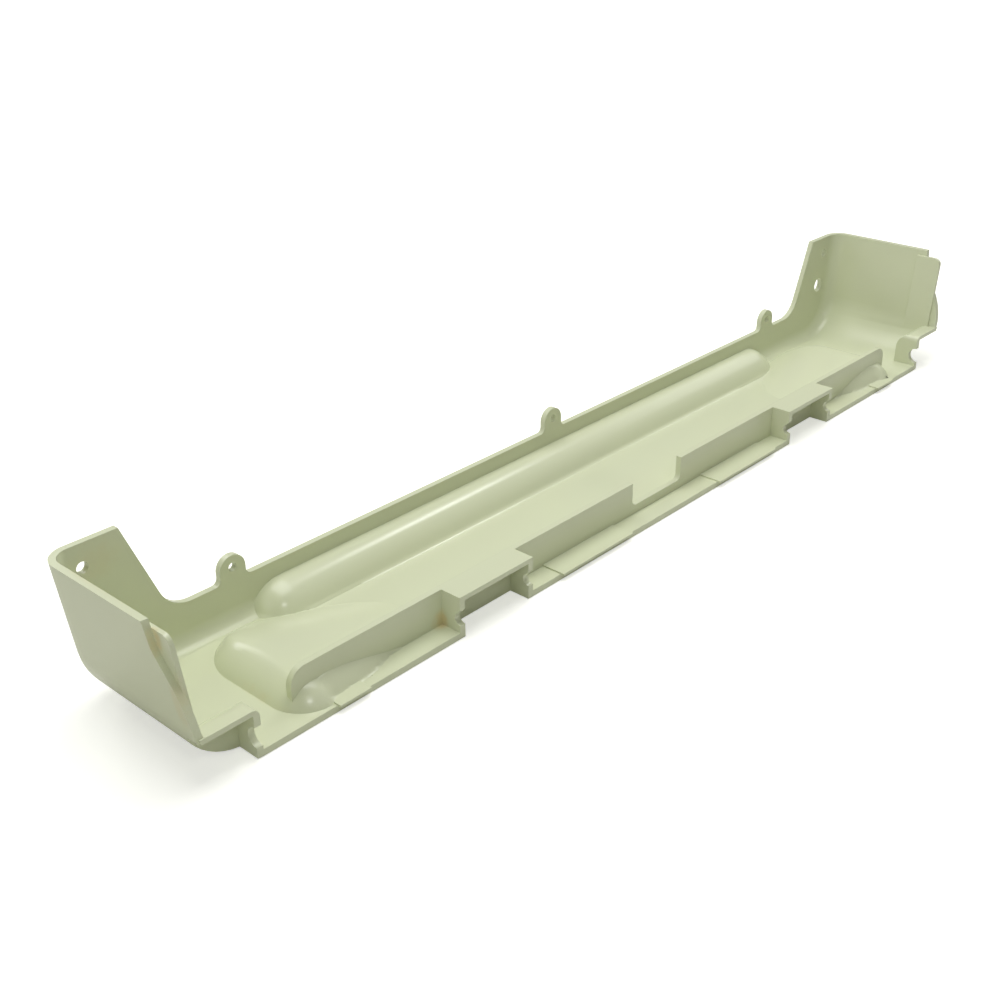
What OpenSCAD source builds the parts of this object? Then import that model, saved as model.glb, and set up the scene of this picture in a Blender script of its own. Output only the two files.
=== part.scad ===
// Moulded side panel: a long shallow tray with a bolted rear wall and two tall ends.
// All sizes are in millimetres. X runs along the panel, Y from its open front
// edge to its rear wall, Z up from the face that it rests on.

/* [Main] */
// Length over the tops of the two end walls
panel_len = 780; // [700:1:860]
// Depth from the front edge of the floor to the back of the rear wall
panel_depth = 110.1; // [100:0.1:125]
// Height from the resting face to the tops of the ends
panel_h = 90.6; // [82:0.1:100]
// Wall thickness of the whole moulding
wall_t = 4; // [3:0.1:5]
// Angle that each end wall leans in towards its foot
end_lean = 6.7434; // [4:0.0001:9]
// Inside radius between the floor and each end wall
end_fillet_r = 35.5; // [28:0.5:42]
// Inside radius between the rear wall and the floor or ends
rear_fillet_r = 10; // [7:0.5:13]

/* [Rear wall] */
// Height of the low stretch of the rear wall above the floor
rail_h = 26.2; // [22:0.1:32]
// Width of a tower along its top, from the panel's end
tower_w = 43.7; // [36:0.1:55]
// How far the tower's sloping side runs from its top to its foot
tower_run = 18.5; // [12:0.1:26]
// Height of that foot above the floor
tower_foot_z = 39.5; // [36:0.1:44]
// Radius of the sweep from the tower's side down to the rail
tower_sweep_r = 21; // [14:0.5:26]
// Distance from the panel's end to the middle of the outer screw tab
tab_in = 110; // [90:1:140]
// Radius of the rounded top of a screw tab
tab_r = 8.9; // [7:0.1:11]
// Height of the centre of that rounded top above the floor
tab_round_z = 33.2; // [30:0.1:38]
// Radius at the foot of a tab
tab_foot_r = 4; // [2:0.5:6]
// Screw hole across a tab, clear for an M5 screw
tab_hole_d = 5.5; // [4.5:0.1:6.6]
// Height of the tab's screw hole above the floor
tab_hole_z = 34.7; // [33:0.1:36]
// Upper hole of a tower, clear for an M6 screw
top_hole_d = 7; // [5.5:0.1:8]
// Distance from the left end to the left tower's upper hole
top_hole_left_in = 20.8; // [19:0.1:32]
// Distance from the right end to the right tower's upper hole
top_hole_right_in = 23.4; // [19:0.1:32]
// Height of the upper tower holes above the floor
top_hole_z = 72.8; // [66:0.1:76]
// Lower hole of a tower, for a plug or cable
low_hole_d = 12; // [9:0.1:14]
// Distance from the panel's end to a lower tower hole
low_hole_in = 27.6; // [24:0.1:35]
// Height of the lower tower hole above the floor
low_hole_z = 44.6; // [42:0.1:48]

/* [End walls] */
// Distance of the end wall's top corner behind the front edge
end_top_y = 20.6; // [16:0.1:26]
// Distance of the bend in the end wall's front edge behind the panel's front
end_bend_y = 18.6; // [14:0.1:22]
// Height of that bend above the floor
end_bend_z = 71; // [64:0.1:76]
// Height above the floor where the slope would meet the upright lower edge
end_toe_z = 39.7; // [36:0.1:44]
// Distance of the upright lower edge behind the panel's front
end_toe_y = 1; // [0.5:0.1:3]
// Radius that eases the slope into the upright lower edge
end_ease_r = 51; // [30:1:60]
// Radius at the bend
end_bend_r = 14; // [6:1:20]

/* [Tongues] */
// How far a tongue stands in from the end wall's inner face
tongue_step = 2; // [1.2:0.1:3]
// Thickness of a tongue where it runs ahead of the end wall
tongue_t = 2.5; // [2:0.1:4]
// Distance of a tongue's front edge behind the panel's front
tongue_front_y = 6.8; // [4:0.1:10]
// Distance of a tongue's rear edge behind the panel's front
tongue_rear_y = 28; // [24:0.5:34]
// Height of a tongue's top above the floor
tongue_top_z = 82; // [74:0.1:84]
// Radius of a tongue's top front corner
tongue_r = 5; // [3:0.5:7]

/* [Corner pockets] */
// Length of a pocket from the panel's end to its side wall
corner_len = 44; // [38:0.5:50]
// Height of the pocket roof's top above the floor
corner_top_z = 25; // [22:0.1:28]
// Thickness of the pocket roof
roof_t = 3; // [2.4:0.1:4]
// Radius of the pocket block's long rear edge
corner_rear_r = 12; // [8:0.5:13]
// Radius of the pocket block's edge on the ledge side
corner_side_r = 4.5; // [3:0.5:6]
// Radius of the round notch in the pocket's side wall
corner_notch_r = 6.2; // [4:0.1:7]
// Height of that notch's centre above the floor
corner_notch_z = 8.7; // [8:0.1:10]

/* [Rib and bridges] */
// Distance from the front edge to the front face of the long rib
rib_y = 14.5; // [12:0.1:18]
// Thickness of the long rib
rib_t = 3.9; // [3:0.1:4.5]
// Height of the rib and the bridges above the floor
rib_h = 23; // [20:0.1:26]
// Distance from the panel's end to the end of the rib
rib_end_in = 74.6; // [70:0.1:85]
// Radius of the rib's top end corner
rib_end_r = 10; // [6:0.5:14]
// Half width of the gap in the middle of the rib
gap_half = 27; // [20:0.1:34]
// Height of the rib left under that gap
gap_sill = 6.3; // [5:0.1:9]
// Radius of the gap's lower corners
gap_r = 4.5; // [2:0.5:5]
// Distance from the panel's end to the middle of a bridge
bridge_in = 215.5; // [200:0.5:230]
// Width of a bridge over its two side walls
bridge_w = 62.2; // [50:0.1:74]
// Radius of the round notch in a bridge's side walls
bridge_notch_r = 4; // [3:0.1:5]
// Height of that notch's centre above the floor
bridge_notch_z = 8.7; // [8:0.1:10]

/* [Bulges] */
// Radius of the long round bulge along the rear wall
bulge_r = 24; // [20:0.5:27]
// Distance from the panel's end to the centre of the bulge's round end
bulge_in = 141; // [130:1:170]
// Depth of the bulge's axis below the floor's top
bulge_drop = 8; // [6:0.5:12]
// Radius that eases the bulge into the floor
bulge_foot_r = 5; // [2:0.5:8]
// Distance from the panel's end to the tip of a tapered blister
blister_tip_in = 180.6; // [170:0.1:200]
// Distance from the front edge to the crest line of a blister's arched top
blister_y = 46.5; // [42:0.5:50]
// Depth of the axis of that arch below the floor's top
blister_drop = 117.5; // [100:0.5:140]
// Growth of the arch's radius for each millimetre of length
blister_slope = 0.16; // [0.12:0.005:0.2]
// Distance from the panel's end to where a blister's end starts to round
blister_end_in = 90; // [84:0.5:100]
// Distance from the front edge to where a blister's front side starts to round
blister_front_y = 24; // [22:0.5:30]
// Distance from the front edge to where a blister's rear side starts to round
blister_rear_y = 75; // [68:0.5:80]
// Plan radius inside the rounding of a blister's front corner
blister_front_corner = 3; // [1:0.5:12]
// Plan radius inside the rounding of a blister's rear corner
blister_rear_corner = 8; // [1:0.5:12]
// Radius of a blister's rounded sides and end
blister_edge_r = 20.8; // [16:0.1:24]
// Depth of that round's centre below the floor's top
blister_edge_drop = 5.1; // [3:0.1:8]
// Radius that eases a blister into the floor
blister_foot_r = 5.2; // [2:0.1:8]

/* [Pads] */
// Height of the low pads on the ledge
pad_h = 1; // [0.6:0.1:1.6]
// How far the pads stand out ahead of the front edge
pad_out = 2.5; // [1.5:0.1:3.5]
// Thickness of the pads where they stand out
pad_t = 1.4; // [1.2:0.1:3]
// Depth of the outer pads, from the front edge
pad_short = 7; // [5:0.5:10]
// Distance from the left end to the outer left pad, and that pad's width
pad_left = [92.5, 21.9];
// Distance from the right end to the outer right pad, and that pad's width
pad_right = [86, 25];
// Clearance of the middle left pad from the rib's gap and from its bridge
pad_mid_left = [20.7, 25.9];
// Clearance of the middle right pad from the rib's gap and from its bridge
pad_mid_right = [25, 19.4];

/* [Hidden] */

$fn = 96;
swell_sink = 0.3;                             // how far that ease ends under the floor
far = 60;                                     // overrun of the cutting shapes
end_trim = 26;                                // reach of the end wall's front trim
tongue_sink = 20;                             // how far a tongue runs down into the round
floor_t = wall_t;
top_z = panel_h - floor_t;                    // heights here start at the floor's top
half_len = panel_len / 2;
lean_run = tan(end_lean);
out_r = end_fillet_r + wall_t;                // outside radius under the ends
full_out_x = half_len - lean_run * (top_z - end_fillet_r) - out_r / cos(end_lean);
out_x = round(100 * full_out_x) / 100;        // kept short so that the seams meet
mid_y = (panel_depth - pad_out) / 2;
rear_in_y = panel_depth - wall_t;
rib_back_y = rib_y + rib_t;
tower_top_x = half_len - tower_w;
tower_foot_x = tower_top_x - tower_run;
tab_x = half_len - tab_in;
low_hole_x = half_len - low_hole_in;
corner_x = half_len - corner_len;
pocket_in_x = corner_x + wall_t;
rib_end_x = half_len - rib_end_in;
bridge_in_x = half_len - bridge_in - bridge_w / 2;
bridge_out_x = bridge_in_x + bridge_w;
bulge_x = half_len - bulge_in;
blister_tip_x = half_len - blister_tip_in;
blister_end_x = half_len - blister_end_in;

// Start, end and depth of each pad
pad_spans = [
    [pad_left[0] - half_len, pad_left[0] + pad_left[1] - half_len, pad_short],
    [pad_mid_left[1] - bridge_in_x, -gap_half - pad_mid_left[0], rib_y + 1],
    [gap_half + pad_mid_right[0], bridge_in_x - pad_mid_right[1], rib_y + 1],
    [half_len - pad_right[0] - pad_right[1], half_len - pad_right[0], pad_short]
];

// Piece between a corner at p and the arc of radius r that eases it,
// with the sides heading for a and b
module corner_piece(p, a, b, r) {
    u = (a - p) / norm(a - p);
    v = (b - p) / norm(b - p);
    m = (u + v) / norm(u + v);
    h = sqrt((1 - u * v) / 2);
    c = p + m * r / h;
    t = r * sqrt(1 - h * h) / h;
    left = cross(u, v) > 0;
    difference() {
        polygon([p - m, p + (left ? u : v) * t, c, p + (left ? v : u) * t]);
        translate(c) circle(r);
    }
}

// Outline of the tray's section across its length, g in from the outer faces
module section(g) {
    r = out_r - g;
    dx = r * cos(end_lean);
    dz = -r * sin(end_lean);
    tx = half_len - g / cos(end_lean) + lean_run * far;
    union() {
        polygon([
            [-out_x, end_fillet_r - r], [out_x, end_fillet_r - r],
            [out_x, end_fillet_r], [out_x + dx, end_fillet_r + dz],
            [tx, top_z + far], [-tx, top_z + far],
            [-out_x - dx, end_fillet_r + dz], [-out_x, end_fillet_r]
        ]);
        for (s = [-1, 1]) translate([s * out_x, end_fillet_r]) circle(r);
    }
}

// Section of the bar that comes off an edge r out from its axis to round it to e
module edge_cut(r, e) {
    difference() {
        translate([r - e, 0]) square([e + 1, e + 1]);
        translate([r - e, 0]) circle(e);
    }
}

// Solid that fills the tray to g in from its outer faces, less its children,
// closed at y1 by a rolled edge of radius e that follows the floor and ends
module tray_solid(g, y0, y1, e) {
    r = out_r - g;
    rise = top_z + 1.5 * far - end_fillet_r;
    difference() {
        difference() {
            translate([0, y1, 0]) rotate([90, 0, 0]) linear_extrude(y1 - y0) section(g);
            children();
        }
        translate([-out_x, y1 - e, end_fillet_r]) rotate([0, 90, 0])
            linear_extrude(2 * out_x) edge_cut(r, e);
        for (s = [0, 1]) mirror([s, 0, 0]) translate([out_x, y1 - e, end_fillet_r]) {
            rotate([0, end_lean, 0]) linear_extrude(rise) edge_cut(r, e);
            rotate([-90, 0, 0]) rotate([0, 0, end_lean])
                rotate_extrude(angle = 90 - end_lean) edge_cut(r, e);
        }
    }
}

// Everything under the top outline of the rear wall, towers and tabs
module rear_outline() {
    slope = (tower_top_x - tower_foot_x) / (top_z - tower_foot_z);
    foot_x = tower_foot_x - slope * (tower_foot_z - rail_h);
    union() {
        difference() {
            translate([-half_len - far, -far]) square([panel_len + 2 * far, top_z + far]);
            polygon([
                [-foot_x, rail_h], [foot_x, rail_h],
                [foot_x + slope * far * 1.5, rail_h + far * 1.5],
                [-foot_x - slope * far * 1.5, rail_h + far * 1.5]
            ]);
        }
        for (s = [-1, 1])
            corner_piece([s * foot_x, rail_h], [0, rail_h], [s * tower_top_x, top_z], tower_sweep_r);
        for (x = [-tab_x, 0, tab_x]) translate([x, 0]) {
            translate([0, tab_round_z]) circle(tab_r);
            translate([-tab_r, rail_h - 1]) square([2 * tab_r, tab_round_z - rail_h + 1]);
            for (s = [-1, 1])
                corner_piece([s * tab_r, rail_h], [s * 2 * tab_r, rail_h], [s * tab_r, top_z], tab_foot_r);
        }
    }
}

// Points of an arc of radius r that eases the corner at p, in n steps, from
// the side that heads for a to the side that heads for b
function eased(p, a, b, r, n) =
    let (u = (a - p) / norm(a - p))
    let (v = (b - p) / norm(b - p))
    let (h = sqrt((1 - u * v) / 2))
    let (c = p + (u + v) / norm(u + v) * r / h)
    let (t = r * sqrt(1 - h * h) / h)
    let (ca = p + u * t - c)
    let (cb = p + v * t - c)
    let (f = acos(ca * cb / (r * r)))
    [for (i = [0:n]) c + (ca * sin((1 - i / n) * f) + cb * sin(i / n * f)) / sin(f)];

// What is trimmed off ahead of an end wall, seen from the end
module end_front_cut() {
    low = [end_toe_y, -far];
    toe = [end_toe_y, end_toe_z];
    bend = [end_bend_y, end_bend_z];
    top = [end_top_y, top_z];
    polygon(concat(
        [[-far, -far], low],
        eased(toe, low, bend, end_ease_r, 8),
        eased(bend, toe, top, end_bend_r, 4),
        [top, [end_top_y + 0.5, top_z + 5], [-far, top_z + 5]]
    ));
}

// Half of a swelling's section, outwards along X: a flat core, then an arc of
// radius r whose centre lies drop below the floor's top, eased into the floor
// unless f is 0
module swell(core, r, drop, f) {
    low = -floor_t - 1;
    v = drop - swell_sink + f;
    u = sqrt((r + f) * (r + f) - v * v);
    toe = [core + u, f - swell_sink];
    hub = [core, -drop];
    meet = hub + (toe - hub) * r / (r + f);
    union() {
        if (core > 0) translate([0, low]) square([core, r - drop - low]);
        intersection() {
            translate(hub) circle(r);
            translate([core, low]) square([r + 1, r + 1]);
        }
        if (f > 0) difference() {
            polygon([[core, low], [core + u, low], toe, meet, [core, meet[1]]]);
            translate(toe) circle(f);
        }
    }
}

// Outline of a blister's flat core, seen from above
module blister_core() {
    x = blister_end_x;
    front_x = x - blister_front_corner;
    rear_x = x - blister_rear_corner;
    front_y = blister_front_y + blister_front_corner;
    rear_y = blister_rear_y - blister_rear_corner;
    polygon([
        [blister_tip_x, blister_front_y], [front_x, blister_front_y], [front_x, front_y], [x, front_y],
        [x, rear_y], [rear_x, rear_y], [rear_x, blister_rear_y], [blister_tip_x, blister_rear_y]
    ]);
}

// Tapered blister; g is how far its faces lie inside the outer ones
module blister(g) {
    long = blister_end_x + far - blister_tip_x;
    f = g > 0 ? 0 : blister_foot_r;
    r = blister_edge_r - g;
    drop = blister_edge_drop;
    low = -floor_t - 1;
    front = blister_front_corner;
    rear = blister_rear_corner;
    intersection() {
        translate([blister_tip_x, blister_y, -blister_drop]) rotate([0, 90, 0])
            cylinder(h = long, r1 = blister_drop - g, r2 = blister_drop - g + blister_slope * long);
        union() {
            translate([0, 0, low]) linear_extrude(r - drop - low) blister_core();
            translate([blister_tip_x, blister_rear_y, 0]) rotate([90, 0, 90])
                linear_extrude(blister_end_x - rear - blister_tip_x) swell(0, r, drop, f);
            translate([blister_end_x - front, blister_front_y, 0]) rotate([90, 0, -90])
                linear_extrude(blister_end_x - front - blister_tip_x) swell(0, r, drop, f);
            translate([blister_end_x, blister_rear_y - rear, 0]) rotate([90, 0, 0])
                linear_extrude(blister_rear_y - rear - blister_front_y - front) swell(0, r, drop, f);
            translate([blister_end_x - rear, blister_rear_y - rear, 0])
                rotate_extrude(angle = 90) swell(rear, r, drop, f);
            translate([blister_end_x - front, blister_front_y + front, 0]) rotate([0, 0, -90])
                rotate_extrude(angle = 90) swell(front, r, drop, f);
        }
    }
}

// Long round bulge along the foot of the rear wall
module bulge() {
    translate([0, rear_in_y, 0]) {
        translate([bulge_x, 0, 0]) rotate([90, 0, -90])
            linear_extrude(2 * bulge_x) swell(0, bulge_r, bulge_drop, bulge_foot_r);
        for (s = [0, 1]) mirror([s, 0, 0]) translate([bulge_x, 0, 0]) rotate([0, 0, -90])
            rotate_extrude(angle = 90) swell(0, bulge_r, bulge_drop, bulge_foot_r);
    }
}

// Round channel that the bulge leaves along the rear edge underneath
module bulge_channel() {
    r = bulge_r - wall_t;
    translate([0, rear_in_y, -bulge_drop]) {
        translate([-bulge_x, 0, 0]) rotate([0, 90, 0]) cylinder(h = 2 * bulge_x, r = r);
        for (s = [-1, 1]) translate([s * bulge_x, 0, 0]) sphere(r);
    }
}

// Tray with its bulges and blisters, its ends trimmed in front
module tray() {
    intersection() {
        difference() {
            tray_solid(0, 0, panel_depth, rear_fillet_r + wall_t)
                for (s = [0, 1]) mirror([s, 0, 0]) translate([half_len - end_trim, 0, 0])
                    rotate([90, 0, 90]) linear_extrude(far) end_front_cut();
            difference() {
                tray_solid(wall_t, -far, rear_in_y, rear_fillet_r);
                bulge();
                for (s = [0, 1]) mirror([s, 0, 0]) blister(0);
            }
        }
        translate([0, panel_depth + 1, 0]) rotate([90, 0, 0])
            linear_extrude(panel_depth + 2) rear_outline();
    }
}

// Front edge of a bridge's side wall, notched, as the shape that is cut away
module bridge_front_cut() {
    translate([0.3, bridge_notch_z]) circle(bridge_notch_r);
    polygon([[-1, 14.5], [0, 14.5], [1.7, 12.4], [1.7, bridge_notch_z], [-1, bridge_notch_z]]);
}

// Box pocket that bridges the ledge, as a solid block with its notches
module bridge_block() {
    translate([bridge_in_x, 0, -1]) cube([bridge_out_x - bridge_in_x, rib_back_y - 1, rib_h + 1]);
}

// Hollow of a bridge with the notches in its two side walls
module bridge_hollow() {
    translate([bridge_in_x + wall_t, -far, -far])
        cube([bridge_out_x - bridge_in_x - 2 * wall_t, far + rib_y, far + rib_h - roof_t]);
    translate([bridge_in_x - 1, 0, 0]) rotate([90, 0, 90])
        linear_extrude(bridge_out_x - bridge_in_x + 2) bridge_front_cut();
}

// Long rib with its middle gap and rounded ends, seen from the front
module rib_outline() {
    difference() {
        translate([-rib_end_x, -floor_t / 2]) square([2 * rib_end_x, rib_h + floor_t / 2]);
        translate([-gap_half, gap_sill + gap_r]) square([2 * gap_half, far]);
        translate([-gap_half + gap_r, gap_sill]) square([2 * (gap_half - gap_r), far]);
        for (s = [-1, 1]) {
            translate([s * (gap_half - gap_r), gap_sill + gap_r]) circle(gap_r);
            corner_piece([s * rib_end_x, rib_h], [0, rib_h], [s * rib_end_x, 0], rib_end_r);
        }
    }
}

// Corner pocket's outer block, rounded along its rear and ledge edges
module corner_block() {
    y = rib_back_y;
    z = corner_top_z;
    intersection() {
        translate([corner_x, 0, 0]) rotate([90, 0, 90]) linear_extrude(far) difference() {
            translate([0, -far]) square([y, far + z]);
            corner_piece([y, z], [0, z], [y, 0], corner_rear_r);
        }
        translate([0, y + 1, 0]) rotate([90, 0, 0]) linear_extrude(y + 1) difference() {
            translate([corner_x, -far]) square([far, far + z]);
            corner_piece([corner_x, z], [corner_x, 0], [half_len, z], corner_side_r);
        }
    }
}

// Tongue inside an end wall
module tongue() {
    z0 = end_fillet_r - tongue_sink;
    intersection() {
        translate([half_len, 0, top_z]) rotate([0, end_lean, 0])
            translate([-wall_t - tongue_step, 0, -2 * top_z]) cube([tongue_t, far, 2 * top_z]);
        translate([half_len - far, 0, 0]) rotate([90, 0, 90]) linear_extrude(2 * far) difference() {
            translate([tongue_front_y, z0]) square([tongue_rear_y - tongue_front_y, tongue_top_z - z0]);
            corner_piece([tongue_front_y, tongue_top_z], [tongue_rear_y, tongue_top_z],
                [tongue_front_y, 0], tongue_r);
        }
    }
}

// One end's additions, kept inside the tray's outer faces
module end_additions() {
    intersection() {
        union() {
            corner_block();
            tongue();
        }
        translate([0, panel_depth - 1, 0]) rotate([90, 0, 0]) linear_extrude(panel_depth) section(1);
    }
}

// Air of a corner pocket: open ahead, below and at the end
module corner_hollow() {
    difference() {
        translate([pocket_in_x, -far, -far]) cube([far, far + rib_y, far + corner_top_z - roof_t]);
        translate([pocket_in_x - 1, rib_back_y - wall_t, corner_top_z - roof_t])
            rotate([90, 0, 90]) linear_extrude(far + 2)
            corner_piece([0, 0], [-10, 0], [0, -10], corner_rear_r - wall_t);
    }
    translate([corner_x - 1, 0, corner_notch_z]) rotate([0, 90, 0])
        cylinder(h = wall_t + 2, r = corner_notch_r);
}

module side_panel() {
    color([0.83, 0.86, 0.74])
    translate([0, -mid_y, floor_t]) difference() {
        union() {
            tray();
            translate([0, rib_back_y, 0]) rotate([90, 0, 0]) linear_extrude(rib_t) rib_outline();
            for (s = [0, 1]) mirror([s, 0, 0]) {
                bridge_block();
                end_additions();
            }
            for (p = pad_spans)
                translate([p[0], -pad_out, pad_h - pad_t]) cube([p[1] - p[0], p[2] + pad_out, pad_t]);
        }
        bulge_channel();
        for (s = [0, 1]) mirror([s, 0, 0]) {
            blister(wall_t);
            bridge_hollow();
            corner_hollow();
        }
        for (x = [-tab_x, 0, tab_x]) translate([x, panel_depth + 1, tab_hole_z])
            rotate([90, 0, 0]) cylinder(h = wall_t + 2, d = tab_hole_d);
        for (x = [top_hole_left_in - half_len, half_len - top_hole_right_in])
            translate([x, panel_depth + 1, top_hole_z])
            rotate([90, 0, 0]) cylinder(h = wall_t + 2, d = top_hole_d);
        for (x = [-low_hole_x, low_hole_x]) translate([x, panel_depth + 1, low_hole_z])
            rotate([90, 0, 0]) cylinder(h = wall_t + 2, d = low_hole_d);
    }
}

side_panel();
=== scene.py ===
import bpy, bmesh, math
from mathutils import Matrix, Vector


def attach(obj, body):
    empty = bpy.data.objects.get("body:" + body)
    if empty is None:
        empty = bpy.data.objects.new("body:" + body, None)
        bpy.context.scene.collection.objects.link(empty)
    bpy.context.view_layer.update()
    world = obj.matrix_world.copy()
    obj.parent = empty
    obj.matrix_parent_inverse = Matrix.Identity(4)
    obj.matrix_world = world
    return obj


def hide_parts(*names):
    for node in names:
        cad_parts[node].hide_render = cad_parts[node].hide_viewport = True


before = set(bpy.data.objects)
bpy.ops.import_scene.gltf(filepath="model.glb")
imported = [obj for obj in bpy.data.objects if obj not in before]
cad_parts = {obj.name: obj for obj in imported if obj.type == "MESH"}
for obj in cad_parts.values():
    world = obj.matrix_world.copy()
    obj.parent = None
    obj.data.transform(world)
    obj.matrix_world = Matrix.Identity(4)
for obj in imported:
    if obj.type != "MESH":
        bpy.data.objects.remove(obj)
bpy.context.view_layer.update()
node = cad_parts["side_panel"]

# Sizes and places are in metres, in the shared frame: X along the panel, Y from
# its open front to its rear wall, Z up from the face that it rests on.
MM = 0.001
EDGE_R = 0.3 * MM  # every edge looks rounded by this much
SAME_POINT = 0.002 * MM  # corners nearer than this are joined
SHARP_DEG = 24  # edges that turn more than this stay sharp


def linear(r, g, b):
    """Colour given as screen values from 0 to 255, for a shader."""
    out = []
    for v in (r, g, b):
        v = v / 255
        out.append(v / 12.92 if v <= 0.04045 else ((v + 0.055) / 1.055) ** 2.4)
    return (*out, 1)


PALE = linear(217, 223, 193)
PALE_WARM = linear(219, 224, 191)
STAIN = linear(222, 196, 128)
DUST = linear(196, 190, 160)


# Helpers for node trees

def add(tree, kind, **values):
    """New node with its properties, or its inputs, set by name."""
    n = tree.nodes.new(kind)
    for name, v in values.items():
        if hasattr(n, name):
            setattr(n, name, v)
        else:
            n.inputs[name.replace("_", " ")].default_value = v
    return n


def put(tree, value, socket):
    """Links an output to a socket, or sets the socket's constant."""
    if isinstance(value, bpy.types.NodeSocket):
        tree.links.new(value, socket)
    else:
        socket.default_value = value


def math_node(tree, op, a, b=0.0, clamp=False):
    """Result of one step of arithmetic on numbers or outputs."""
    n = tree.nodes.new("ShaderNodeMath")
    n.operation = op
    n.use_clamp = clamp
    put(tree, a, n.inputs[0])
    put(tree, b, n.inputs[1])
    return n.outputs[0]


def blend_colour(tree, fac, a, b):
    """Colour a where fac is 0 and b where it is 1."""
    n = tree.nodes.new("ShaderNodeMix")
    n.data_type = "RGBA"
    put(tree, fac, n.inputs["Factor"])
    put(tree, a, n.inputs["A"])
    put(tree, b, n.inputs["B"])
    return n.outputs["Result"]


def noise(tree, vector, scale, detail=2.0, rough=0.5):
    """Smooth noise from 0 to 1, with scale in waves a metre."""
    n = add(tree, "ShaderNodeTexNoise", Scale=scale, Detail=detail, Roughness=rough)
    tree.links.new(vector, n.inputs["Vector"])
    return n.outputs["Fac"]


def ramp(tree, fac, start, end):
    """0 below start, 1 above end and smooth between."""
    n = add(tree, "ShaderNodeMapRange", interpolation_type="SMOOTHSTEP")
    put(tree, fac, n.inputs["Value"])
    n.inputs["From Min"].default_value = start
    n.inputs["From Max"].default_value = end
    return n.outputs["Result"]


def group(name, inputs, outputs):
    """Empty shader group with float or vector sockets."""
    g = bpy.data.node_groups.new(name, "ShaderNodeTree")
    for label, kind in inputs:
        g.interface.new_socket(label, in_out="INPUT", socket_type=kind)
    for label, kind in outputs:
        g.interface.new_socket(label, in_out="OUTPUT", socket_type=kind)
    return g, g.nodes.new("NodeGroupInput"), g.nodes.new("NodeGroupOutput")


def use(tree, g, **values):
    """Places a shader group, with its inputs linked or set by name."""
    n = tree.nodes.new("ShaderNodeGroup")
    n.node_tree = g
    for name, v in values.items():
        put(tree, v, n.inputs[name])
    return n


def patch_group():
    """Mask of a soft, ragged patch round Place, out to Reach along each axis."""
    g, gi, go = group(
        "stain patch",
        [(label, "NodeSocketVector") for label in ("Vector", "Place", "Reach")],
        [("Mask", "NodeSocketFloat")],
    )
    off = add(g, "ShaderNodeVectorMath", operation="SUBTRACT")
    g.links.new(gi.outputs["Vector"], off.inputs[0])
    g.links.new(gi.outputs["Place"], off.inputs[1])
    share = add(g, "ShaderNodeVectorMath", operation="DIVIDE")
    g.links.new(off.outputs[0], share.inputs[0])
    g.links.new(gi.outputs["Reach"], share.inputs[1])
    dist = add(g, "ShaderNodeVectorMath", operation="LENGTH")
    g.links.new(share.outputs[0], dist.inputs[0])
    near = math_node(g, "SUBTRACT", 1.0, dist.outputs["Value"], clamp=True)
    ragged = noise(g, gi.outputs["Vector"], 160, 4, 0.6)
    both = math_node(g, "MULTIPLY", near, math_node(g, "MULTIPLY", ragged, 2.0))
    g.links.new(ramp(g, both, 0.05, 0.8), go.inputs["Mask"])
    return g


def surface_group():
    """Slow drift of tint, faint smudges and fine grain of a moulded satin face."""
    g, gi, go = group(
        "moulded face",
        [("Vector", "NodeSocketVector")],
        [(label, "NodeSocketFloat") for label in ("Drift", "Smudge", "Grain")],
    )
    v = gi.outputs["Vector"]
    stretch = add(g, "ShaderNodeMapping", vector_type="POINT")
    stretch.inputs["Scale"].default_value = (0.4, 1, 1)
    g.links.new(v, stretch.inputs["Vector"])
    g.links.new(noise(g, stretch.outputs["Vector"], 14, 3), go.inputs["Drift"])
    g.links.new(noise(g, v, 22, 2, 0.4), go.inputs["Smudge"])
    fine = math_node(g, "MULTIPLY", noise(g, v, 1400, 2), 0.15)
    wave = math_node(g, "MULTIPLY", noise(g, v, 60, 2), 0.85)
    g.links.new(math_node(g, "ADD", fine, wave), go.inputs["Grain"])
    return g


# Where the photo shows yellowing: place and reach in mm, and strength
STAINS = [
    ((-206, -39.3, 7), (11, 7, 10), 0.5),
    ((-387, -37, 80), (6, 5, 12), 0.5),
    ((-385, -47, 50), (9, 7, 22), 0.2),
    ((-385, 10, 88), (5, 50, 5), 0.2),
    ((-362, 52, 78), (20, 8, 16), 0.12),
    ((-318, -16, 4), (6, 30, 6), 0.15),
]


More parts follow.
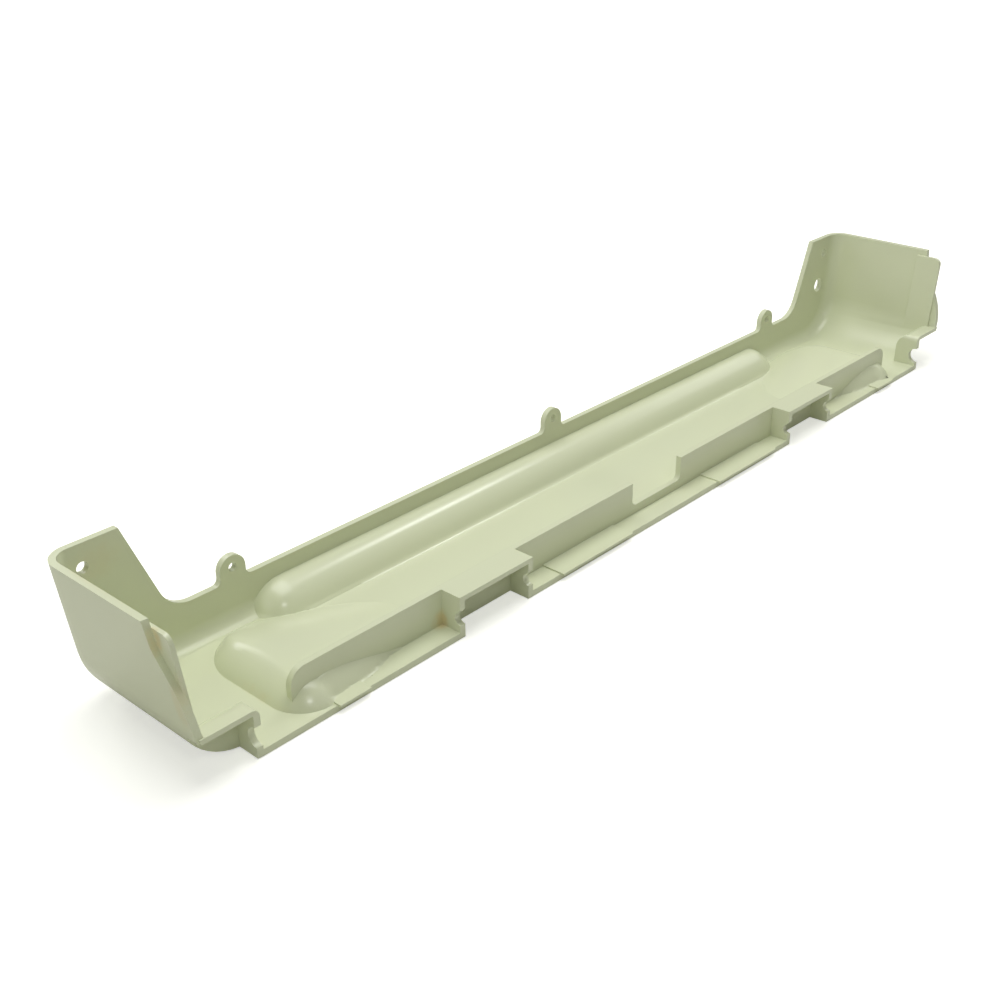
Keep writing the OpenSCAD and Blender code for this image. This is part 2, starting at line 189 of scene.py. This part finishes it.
def plastic():
    """Satin pale plastic, a little yellowed in places."""
    m = bpy.data.materials.new("pale moulded plastic")
    m.use_nodes = True
    t = m.node_tree
    t.nodes.clear()
    out = t.nodes.new("ShaderNodeOutputMaterial")
    shader = t.nodes.new("ShaderNodeBsdfPrincipled")
    t.links.new(shader.outputs["BSDF"], out.inputs["Surface"])
    shader.inputs["IOR"].default_value = 1.5
    shader.inputs["Specular IOR Level"].default_value = 0.5
    where = t.nodes.new("ShaderNodeTexCoord").outputs["Object"]
    face = use(t, surface_group(), Vector=where)
    colour = blend_colour(t, face.outputs["Drift"], PALE, PALE_WARM)
    patch = patch_group()
    for place, reach, strength in STAINS:
        place, reach = (tuple(c * MM for c in v) for v in (place, reach))
        spot = use(t, patch, Vector=where, Place=place, Reach=reach)
        stained = math_node(t, "MULTIPLY", spot.outputs["Mask"], strength)
        colour = blend_colour(t, stained, colour, STAIN)
    dust = math_node(t, "MULTIPLY", face.outputs["Smudge"], 0.06)
    colour = blend_colour(t, dust, colour, DUST)
    t.links.new(colour, shader.inputs["Base Color"])
    shader.inputs["Roughness"].default_value = 0.22
    edge = add(t, "ShaderNodeBevel", samples=8)
    edge.inputs["Radius"].default_value = EDGE_R
    bump = add(t, "ShaderNodeBump", Strength=0.08, Distance=0.1 * MM)
    t.links.new(face.outputs["Grain"], bump.inputs["Height"])
    t.links.new(edge.outputs["Normal"], bump.inputs["Normal"])
    t.links.new(bump.outputs["Normal"], shader.inputs["Normal"])
    return m


# The blisters' visible surface. In the photo their foot is a clear line and the low
# pads stand free of it, so the copy's top is drawn again there, by up to 3 mm. This
# part is in mm: x out from the panel's middle, y in from its front edge and z up
# from its floor. Both ends are alike but for the pads, whose x has its sign.

FRONT_Y = -53.8
FLOOR_TOP = 4.0
RIB_FRONT, RIB_BACK, RIB_END = 14.5, 18.4, 315.4

PADS = [(-297.5, -275.6), (279.0, 304.0)]
PAD_BACK = 7.0
PAD_H = 1

# Arched top: its radius grows along x
ARCH_X, ARCH_Y = 209.4, 46.5
ARCH_DROP = 117.5
ARCH_SLOPE = 0.16

# Packed blister: a level core with round corners, an edge arc round it and a foot arc
TOP_H = 15.7
CORE_X = 300
CORE_FRONT, CORE_FRONT_R = 24, 3
CORE_BACK, CORE_BACK_R = 75, 8
EDGE_ARC_R, EDGE_ARC_RUN, EDGE_ARC_DROP = 20.8, 19.2, 5.1
FOOT_ARC_R, FOOT_ARC_RUN, FOOT_ARC_H = 5.2, 24, 4.9

# Foot line that the photo shows: its far side, its front and back, and their corners
FOOT_X = 321.3
FOOT_FRONT, FOOT_FRONT_R = 2.2, 22
FOOT_BACK, FOOT_BACK_R = 97, 34.7
FOOT_LINE = [(236, 14.5), (248, 13.3), (264.6, 7.5), (277.5, 4.3), (300, 2.2), (330, 2.2)]

# Rolled side that the photo shows, the width of its soft join with the arch, and what
# the arch gains towards the rib's front face
SIDE_RUN = 27
SIDE_R_SQUARED = 965.3
SIDE_DROP = 15.37
JOIN = 3
RIB_LIFT = 0.9

# Height along the rib's front face. In front of the rib a blister starts gently, over
# a share of its run and of its rise, and this part ends between two places in x.
RIB_LINE = [(236, 0), (247, 2.2), (258, 5.0), (269, 7.8), (280, 10.2), (290, 11.4), (330, 11.6)]
GENTLE_RUN, GENTLE_RISE = 0.28, 0.11
FRONT_POWER = 1.25
FRONT_END = (292, 302)

# Where the top is drawn again, and the grid that it is cut in
AREA_X = (205, 325)
AREA_Y = 100
GRID = 1.5
PAD_CUT = 0.03  # from a pad's edge to the cuts on both sides of it
FINE = 0.02  # room for rounding in tests, and from a cut to the edge beside it
NEAR_TOP = 0.4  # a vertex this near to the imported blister's height is on it
LOW_X = 250  # short of here the foot is too low for vertices to be moved onto it


def between(table, x):
    """Straight-line reading of a table of pairs."""
    if x <= table[0][0]:
        return table[0][1]
    for (x0, y0), (x1, y1) in zip(table, table[1:]):
        if x <= x1:
            return y0 + (y1 - y0) * (x - x0) / (x1 - x0)
    return table[-1][1]


def ease(v, a, b):
    """0 at a, 1 at b and smooth between."""
    v = min(max((v - a) / (b - a), 0), 1)
    return v * v * (3 - 2 * v)


def arch(x, y):
    r = ARCH_DROP + ARCH_SLOPE * (x - ARCH_X)
    return math.sqrt(max(r * r - (y - ARCH_Y) ** 2, 0)) - ARCH_DROP


def packed_height(x, y):
    """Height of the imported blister."""
    front_x, front_y = CORE_X - CORE_FRONT_R, CORE_FRONT + CORE_FRONT_R
    back_x, back_y = CORE_X - CORE_BACK_R, CORE_BACK - CORE_BACK_R
    if x > back_x and y > back_y:
        d = math.hypot(x - back_x, y - back_y) - CORE_BACK_R
    elif x > front_x and y < front_y:
        d = math.hypot(x - front_x, y - front_y) - CORE_FRONT_R
    else:
        d = max(x - CORE_X, y - CORE_BACK, CORE_FRONT - y)
    if d <= 0:
        side = TOP_H
    elif d < EDGE_ARC_RUN:
        side = math.sqrt(EDGE_ARC_R**2 - d * d) - EDGE_ARC_DROP
    elif d < FOOT_ARC_RUN:
        side = FOOT_ARC_H - math.sqrt(FOOT_ARC_R**2 - (FOOT_ARC_RUN - d) ** 2)
    else:
        side = 0
    return max(0, min(side, arch(x, y)))


def inside(x, y):
    """Distance in from the photo's foot line, and the direction out to it."""
    front_x, front_y = FOOT_X - FOOT_FRONT_R, FOOT_FRONT + FOOT_FRONT_R
    back_x, back_y = FOOT_X - FOOT_BACK_R, FOOT_BACK - FOOT_BACK_R
    if x > back_x and y > back_y:
        dx, dy, corner_r = x - back_x, y - back_y, FOOT_BACK_R
    elif x > front_x and y < front_y:
        dx, dy, corner_r = x - front_x, y - front_y, FOOT_FRONT_R
    else:
        return min(
            (FOOT_X - x, 1, 0),
            (y - between(FOOT_LINE, x), 0, -1),
            (FOOT_BACK - y, 0, 1),
        )
    r = math.hypot(dx, dy)
    return corner_r - r, dx / r, dy / r


def front_share(t):
    """Share of its rise that a blister has at share t of its run in front of the rib."""
    if t < GENTLE_RUN:
        return GENTLE_RISE * (t / GENTLE_RUN) ** 2
    left = (1 - t) / (1 - GENTLE_RUN)
    return GENTLE_RISE + (1 - GENTLE_RISE) * (1 - left**FRONT_POWER)


def shown_height(x, y):
    """Height of the blister as the photo shows it."""
    e = inside(x, y)[0]
    if e <= 0:
        return 0
    side = math.sqrt(SIDE_R_SQUARED - (SIDE_RUN - e) ** 2) - SIDE_DROP if e < SIDE_RUN else TOP_H
    top = arch(x, y)
    if y < RIB_BACK:
        top += RIB_LIFT * (1 - ease(y, RIB_FRONT, RIB_BACK))
    soft = max(JOIN - abs(side - top), 0) / JOIN
    full = min(side, top) - soft * soft * JOIN / 4
    if y <= RIB_FRONT and x < FRONT_END[1]:
        foot = between(FOOT_LINE, x)
        t = min(max((y - foot) / max(RIB_FRONT - foot, 0.1), 0), 1)
        front = between(RIB_LINE, x) * front_share(t)
        full = front + (full - front) * ease(x, *FRONT_END)
    return max(0, full)


def place_of(v):
    """A vertex's x out from the middle, y and z."""
    return abs(v.co.x) / MM, v.co.y / MM - FRONT_Y, v.co.z / MM - FLOOR_TOP


def on_top(v):
    """True on the floor, on a packed blister or on a low pad."""
    x, y, z = place_of(v)
    if y < -3 or z < -0.05 or z > TOP_H + 1.3:
        return False
    on_pad = abs(z - PAD_H) < FINE and y < PAD_BACK + 0.1
    return on_pad or abs(z - packed_height(x, y)) < NEAR_TOP


def by_pad(v, more):
    """True over a low pad's outline, grown by a margin."""
    x, y = v.co.x / MM, v.co.y / MM - FRONT_Y
    return y < PAD_BACK + more and any(a - more < x < b + more for a, b in PADS)


def cut(bm, faces, axis, at):
    """Cuts the faces of a set along a plane across an axis and keeps the set whole."""
    crossed = set()
    for f in faces:
        side = [v.co[axis] - at for v in f.verts]
        if min(side) < -1e-6 and max(side) > 1e-6:
            crossed.add(f)
    if not crossed:
        return faces
    edges = {e for f in crossed for e in f.edges}
    verts = {v for f in crossed for v in f.verts}
    normal = Vector((0, 0, 0))
    normal[axis] = 1
    faces -= crossed
    made = bmesh.ops.bisect_plane(
        bm, geom=[*crossed, *edges, *verts], dist=1e-7, plane_co=normal * at, plane_no=normal
    )
    return faces | {f for f in made["geom"] if isinstance(f, bmesh.types.BMFace)}


def cut_lines(s):
    """Places of the cuts in x and in y at the end of sign s, with a pair at each pad edge."""
    near, far = AREA_X
    xs = [near + GRID * i for i in range(int((far - near) / GRID) + 1)]
    for a, b in PADS:
        if a * s > 0:
            for x in (abs(a), abs(b)):
                xs += [x - PAD_CUT, x + PAD_CUT]
    ys = [FINE] + [GRID * i for i in range(1, 10)]
    ys += [PAD_BACK - PAD_CUT, PAD_BACK + PAD_CUT, RIB_FRONT - FINE, RIB_BACK + FINE]
    ys += [13 * GRID + GRID * i for i in range(54)]
    return xs, ys


def redraw(v):
    """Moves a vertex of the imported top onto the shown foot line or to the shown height."""
    x, y, z = place_of(v)
    if not (AREA_X[0] + 1 < x < AREA_X[1] - 0.5 and 0 < y < AREA_Y + 1) or not on_top(v):
        return
    in_pad = by_pad(v, -0.01)
    raised = abs(z - PAD_H) < FINE and y < PAD_BACK + 0.01 and z > packed_height(x, y) + FINE
    e, dx, dy = inside(x, y)
    off_rib = min(abs(y - RIB_FRONT), abs(y - RIB_BACK), abs(x - RIB_END)) > 0.05
    free = off_rib and not by_pad(v, 1)
    if abs(e) < GRID / 2 and free and 1 < y < FOOT_BACK - 1 and x > LOW_X:
        side = 1 if v.co.x > 0 else -1
        v.co.x += side * e * dx * MM
        v.co.y += e * dy * MM
        new = 0
    else:
        new = shown_height(x, y)
    if in_pad or raised:
        new = max(new, PAD_H)
    v.co.z = (FLOOR_TOP + new) * MM


def faces_up(bm):
    return {f for f in bm.faces if f.normal.z > 0.05}


def reshape_blisters(bm):
    """Cuts the floor and the blisters in a fine grid and redraws their top."""
    for s in (-1, 1):
        faces = {f for f in faces_up(bm) if all(on_top(v) for v in f.verts)}
        xs, ys = cut_lines(s)
        for x in xs:
            faces = cut(bm, faces, 0, s * x * MM)
        low_x, high_x = sorted(s * x * MM for x in (AREA_X[0] - 0.1, AREA_X[1] + 0.1))
        faces = {f for f in faces if low_x < f.calc_center_median().x < high_x}
        for y in ys:
            faces = cut(bm, faces, 1, (FRONT_Y + y) * MM)
    for v in {v for f in faces_up(bm) for v in f.verts}:
        redraw(v)


# The panel's visible surface

def smooth_copy(source, name, material):
    """Copy of a CAD node with its corners joined and its curves shaded smooth."""
    mesh = source.data.copy()
    mesh.name = name
    mesh.transform(source.matrix_world)
    bm = bmesh.new()
    bm.from_mesh(mesh)
    bmesh.ops.remove_doubles(bm, verts=bm.verts, dist=SAME_POINT)
    bm.normal_update()
    reshape_blisters(bm)
    bmesh.ops.triangulate(bm, faces=bm.faces)
    bm.normal_update()
    for f in bm.faces:
        f.smooth = True
    for e in bm.edges:
        e.smooth = e.calc_face_angle(0) < math.radians(SHARP_DEG)
    bm.to_mesh(mesh)
    bm.free()
    mesh.materials.clear()
    mesh.materials.append(material)
    obj = bpy.data.objects.new(name, mesh)
    bpy.context.scene.collection.objects.link(obj)
    even = obj.modifiers.new("even shading", "WEIGHTED_NORMAL")
    even.keep_sharp = True
    return obj


pale_plastic = plastic()
skin = smooth_copy(node, "panel_skin", pale_plastic)
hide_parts("side_panel")
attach(skin, "root")
node.data.materials.clear()
node.data.materials.append(pale_plastic)


# Studio

def ground_material():
    """Matt white floor that the camera sees a little brighter, so that only shadows show."""
    m = bpy.data.materials.new("studio floor")
    m.use_nodes = True
    t = m.node_tree
    t.nodes.clear()
    out = t.nodes.new("ShaderNodeOutputMaterial")
    matt = add(t, "ShaderNodeBsdfDiffuse", Color=(0.8, 0.8, 0.75, 1))
    away = add(t, "ShaderNodeVectorMath", operation="LENGTH")
    t.links.new(t.nodes.new("ShaderNodeTexCoord").outputs["Object"], away.inputs[0])
    far = ramp(t, away.outputs["Value"], 0.5, 2.5)
    glow = add(t, "ShaderNodeEmission", Color=(1, 1, 1, 1))
    strength = math_node(t, "ADD", math_node(t, "MULTIPLY", far, 0.6), 0.5)
    t.links.new(strength, glow.inputs["Strength"])
    both = t.nodes.new("ShaderNodeAddShader")
    t.links.new(matt.outputs[0], both.inputs[0])
    t.links.new(glow.outputs[0], both.inputs[1])
    seen = t.nodes.new("ShaderNodeLightPath").outputs["Is Camera Ray"]
    pick = t.nodes.new("ShaderNodeMixShader")
    t.links.new(seen, pick.inputs["Fac"])
    t.links.new(matt.outputs[0], pick.inputs[1])
    t.links.new(both.outputs[0], pick.inputs[2])
    t.links.new(pick.outputs[0], out.inputs["Surface"])
    return m


def ground():
    """Pale floor, a hair under the panel."""
    bpy.ops.mesh.primitive_plane_add(size=30, location=(0, 0, -0.2 * MM))
    o = bpy.context.object
    o.name = "studio_floor"
    o.data.materials.append(ground_material())


def surroundings(strength):
    """Even pale light all round, and plain white where the camera looks past the floor."""
    world = bpy.data.worlds[0] if bpy.data.worlds else bpy.data.worlds.new("studio")
    bpy.context.scene.world = world
    world.use_nodes = True
    t = world.node_tree
    t.nodes.clear()
    out = t.nodes.new("ShaderNodeOutputWorld")
    light = add(t, "ShaderNodeBackground", Color=(1, 1, 0.9, 1), Strength=strength)
    view = add(t, "ShaderNodeBackground", Color=(1, 1, 1, 1), Strength=1.0)
    seen = t.nodes.new("ShaderNodeLightPath").outputs["Is Camera Ray"]
    pick = t.nodes.new("ShaderNodeMixShader")
    t.links.new(seen, pick.inputs["Fac"])
    t.links.new(light.outputs[0], pick.inputs[1])
    t.links.new(view.outputs[0], pick.inputs[2])
    t.links.new(pick.outputs[0], out.inputs["Surface"])


def lamp(name, place, size, power):
    """Square soft lamp, aimed at the middle of the panel, with its power in watts."""
    data = bpy.data.lights.new(name, "AREA")
    data.shape = "SQUARE"
    data.size = size
    data.energy = power
    o = bpy.data.objects.new(name, data)
    bpy.context.scene.collection.objects.link(o)
    o.location = place
    o.rotation_euler = (-Vector(place)).to_track_quat("-Z", "Y").to_euler()


ground()
surroundings(0.13)
lamp("top", (0.0, 0.1, 1.6), 1.2, 16.5)
lamp("left", (-1.9, 0.0, 0.9), 1.0, 4.8)
lamp("back", (-0.1, 1.8, 1.1), 1.0, 8.5)
lamp("right", (1.9, 0.1, 1.0), 1.0, 5.5)
lamp("right high", (1.07, 0.19, 1.56), 0.35, 4.5)
lamp("front left", (-0.77, -1.1, 1.2), 0.2, 2.4)


# Camera, found from the photo's outline

def photo_camera():
    """The photo's viewpoint: place, compass angle, tilt down and roll in degrees."""
    place = Vector((-0.646548, -0.490078, 0.405198))
    azimuth, tilt, roll = (math.radians(a) for a in (47.42709, 27.07847, -0.53796))
    level = math.cos(tilt)
    ahead = Vector((math.sin(azimuth) * level, math.cos(azimuth) * level, -math.sin(tilt)))
    right = ahead.cross(Vector((0, 0, 1))).normalized()
    up = right.cross(ahead)
    right, up = (
        right * math.cos(roll) + up * math.sin(roll),
        up * math.cos(roll) - right * math.sin(roll),
    )
    data = bpy.data.cameras.new("photo camera")
    data.sensor_fit = "HORIZONTAL"
    data.sensor_width = 36
    data.lens = 46.7817
    cam = bpy.data.objects.new("photo camera", data)
    bpy.context.scene.collection.objects.link(cam)
    turn = Matrix((right, up, -ahead)).transposed().to_4x4()
    cam.matrix_world = Matrix.Translation(place) @ turn
    bpy.context.scene.camera = cam


photo_camera()
bpy.context.scene.view_settings.view_transform = "Standard"
